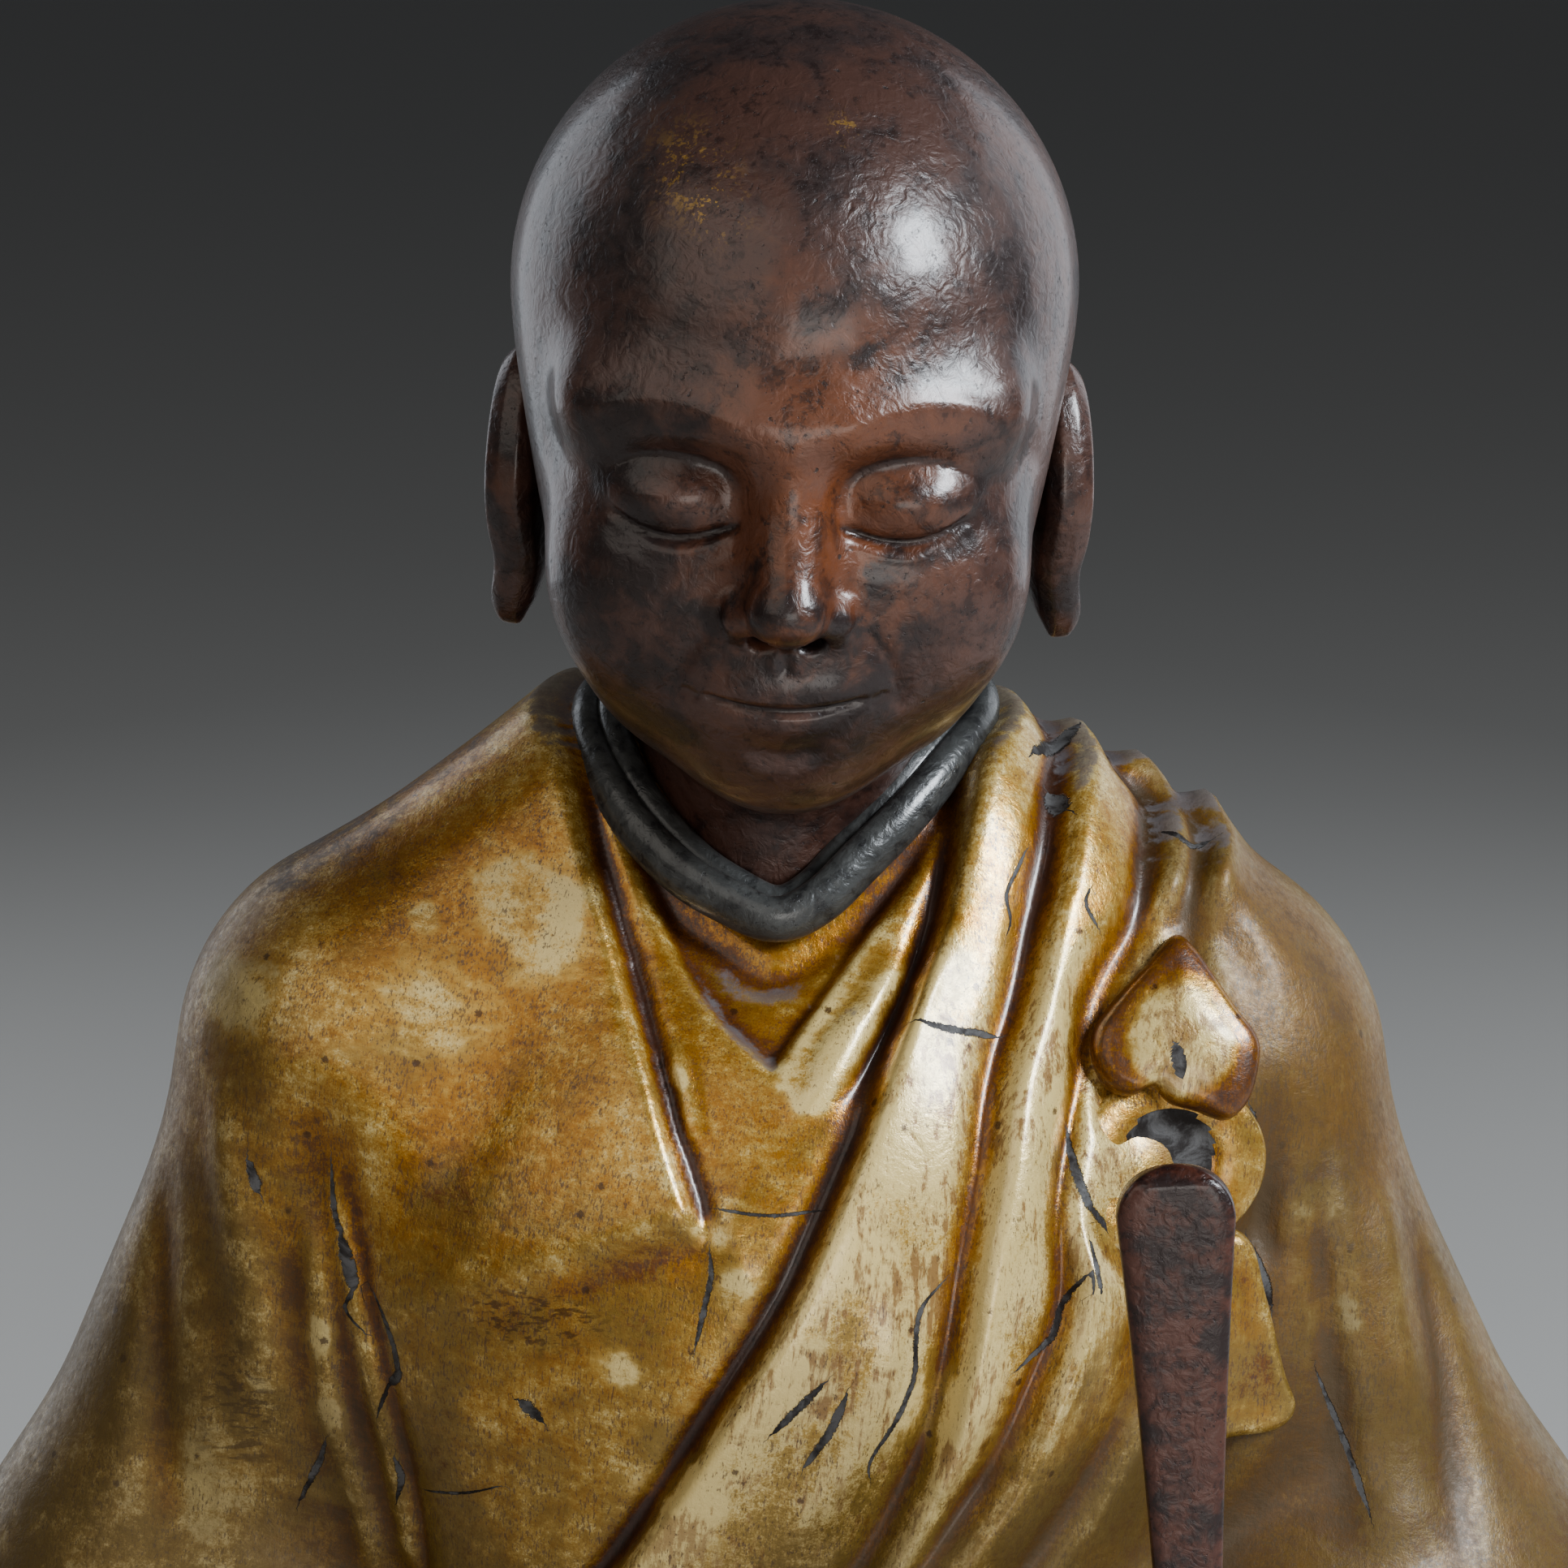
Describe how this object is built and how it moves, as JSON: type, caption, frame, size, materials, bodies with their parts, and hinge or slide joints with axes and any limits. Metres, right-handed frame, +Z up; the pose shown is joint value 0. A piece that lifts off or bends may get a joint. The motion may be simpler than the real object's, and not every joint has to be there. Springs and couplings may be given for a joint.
{
  "type": "seated monk statue",
  "caption": "Carved seated monk in pleated robes, with a bowed shaven head, an upright flat staff in the left hand and a low moulded base that it stands on.",
  "frame": {"origin": "centre of the base's underside", "axes": "+Z up, the figure faces -Y, its left side is +X"},
  "size_m": [0.436, 0.314, 0.5347],
  "materials": {
    "base_lacquer": "dark brown lacquer, glossy, rubbed on the mouldings",
    "gilded_robe": "worn gilding over brown lacquer, cracked, satin to gloss",
    "head_lacquer": "dark red-brown lacquer, glossy, with traces of gilding",
    "staff_lacquer": "dark red-brown lacquer, semi-gloss"
  },
  "bodies": {
    "root": {"base": "base_lacquer", "robed_body": "gilded_robe", "head": "head_lacquer", "staff": "staff_lacquer"}
  },
  "joints": []
}
